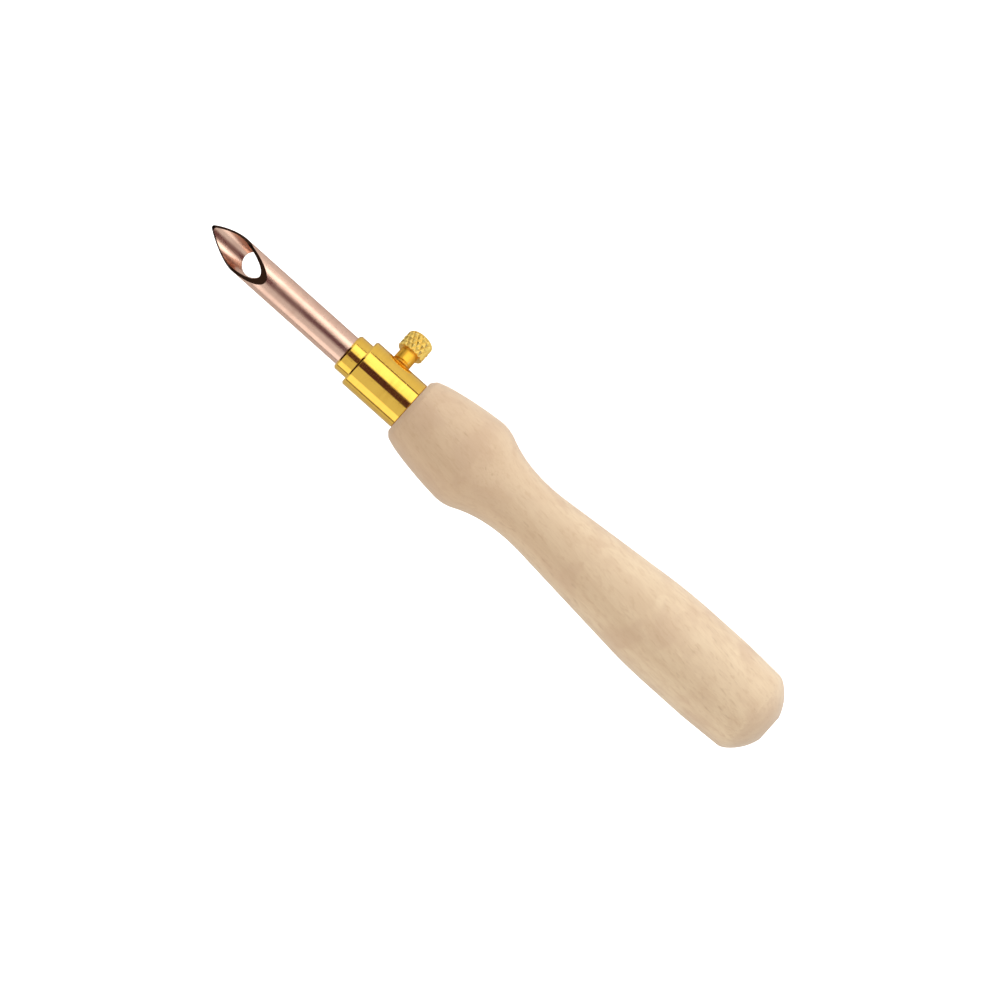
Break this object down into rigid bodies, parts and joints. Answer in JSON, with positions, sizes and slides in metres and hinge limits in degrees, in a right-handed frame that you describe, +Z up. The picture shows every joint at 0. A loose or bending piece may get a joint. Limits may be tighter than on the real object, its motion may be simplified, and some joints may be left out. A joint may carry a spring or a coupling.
{
  "type": "punch needle",
  "caption": "Rug punch needle: a hollow needle with a pointed bevel and an eye, clamped by a knurled screw in a brass ferrule on a turned wooden handle.",
  "frame": {"origin": "on the tool's axis, at the front of the ferrule's nose, where the needle leaves it", "axes": "+X along the tool's axis to the handle's rear end, so the needle points to -X; +Z up with the tool lying on its side; the clamp screw droops to the +Y side"},
  "size_m": [0.1501, 0.0212, 0.0202],
  "materials": {
    "wood": "pale turned hardwood, fine grain, satin clear finish",
    "brass": "turned and polished",
    "rose_metal": "rose-gold coloured, polished tube",
    "screw_brass": "turned, diamond-knurled head"
  },
  "bodies": {
    "handle": {"handle": "wood", "ferrule": "brass"},
    "needle": {"needle": "rose_metal"},
    "clamp_screw": {"clamp_screw": "screw_brass"}
  },
  "joints": [
    {"name": "needle_slide", "type": "slide", "parent": "handle", "child": "needle", "axis": [1, 0, 0], "range_m": [-0.01, 0.018]},
    {"name": "clamp_screw_turn", "type": "hinge", "parent": "handle", "child": "clamp_screw", "pos_m": [0.0097, 0, 0], "axis": [0, 0.7547, -0.656], "range_deg": [0, 720]}
  ]
}
